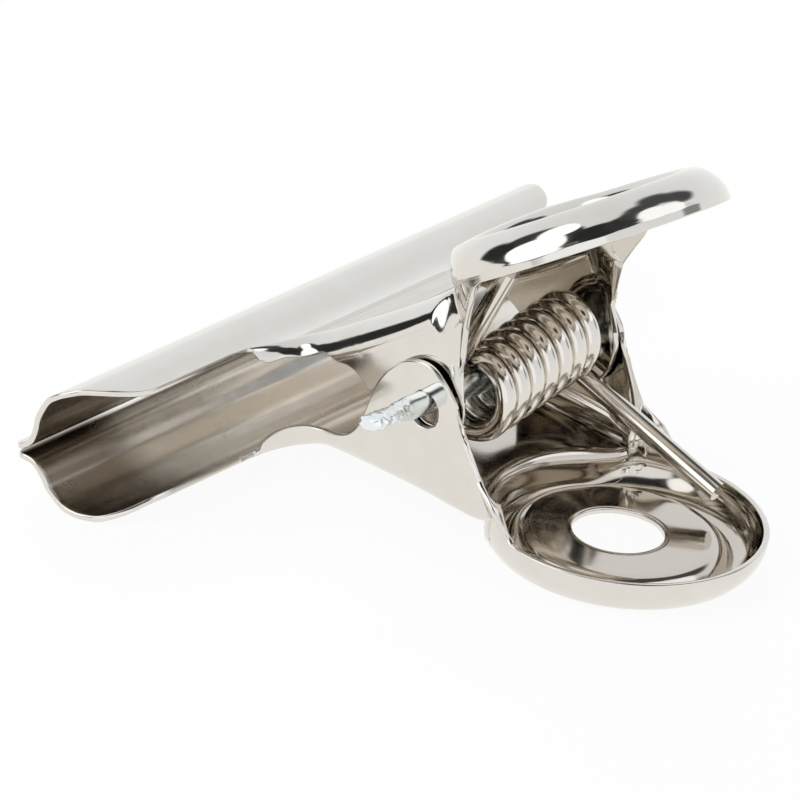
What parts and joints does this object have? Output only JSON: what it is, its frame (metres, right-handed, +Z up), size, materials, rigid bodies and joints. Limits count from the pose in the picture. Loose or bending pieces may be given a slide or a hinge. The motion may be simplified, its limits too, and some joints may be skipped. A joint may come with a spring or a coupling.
{
  "type": "spring file clip",
  "caption": "Spring file clip: two stamped nickel-plated halves with a wide jaw and round dished handles, hinged on a pin with a torsion spring.",
  "frame": {"origin": "centre of the clip's footprint, on the surface that the lower jaw's crown and the lower handle stand on", "axes": "+X along the jaw, +Y from the handles to the mouth, +Z up"},
  "size_m": [0.073, 0.0608, 0.0401],
  "materials": {
    "nickel_plate": "bright nickel plating",
    "spring_wire": "bright nickel-plated wire",
    "zinc_pin": "blue zinc plating, crimped end"
  },
  "bodies": {
    "lower": {"lower_plate": "nickel_plate", "torsion_spring": "spring_wire"},
    "upper": {"upper_plate": "nickel_plate"},
    "pin": {"pivot_pin": "zinc_pin"}
  },
  "joints": [
    {"name": "jaw_hinge", "type": "hinge", "parent": "lower", "child": "upper", "pos_m": [0, -0.00067, 0.01357], "axis": [1, 0, 0], "range_deg": [0, 68], "stiffness_Nm_per_rad": 0.74, "springref_deg": -22.92, "deforming": ["torsion_spring"]},
    {"name": "pin_turn", "type": "hinge", "parent": "lower", "child": "pin", "pos_m": [0, -0.00067, 0.01357], "axis": [0.999, -0.0128, -0.0417], "continuous": true}
  ]
}
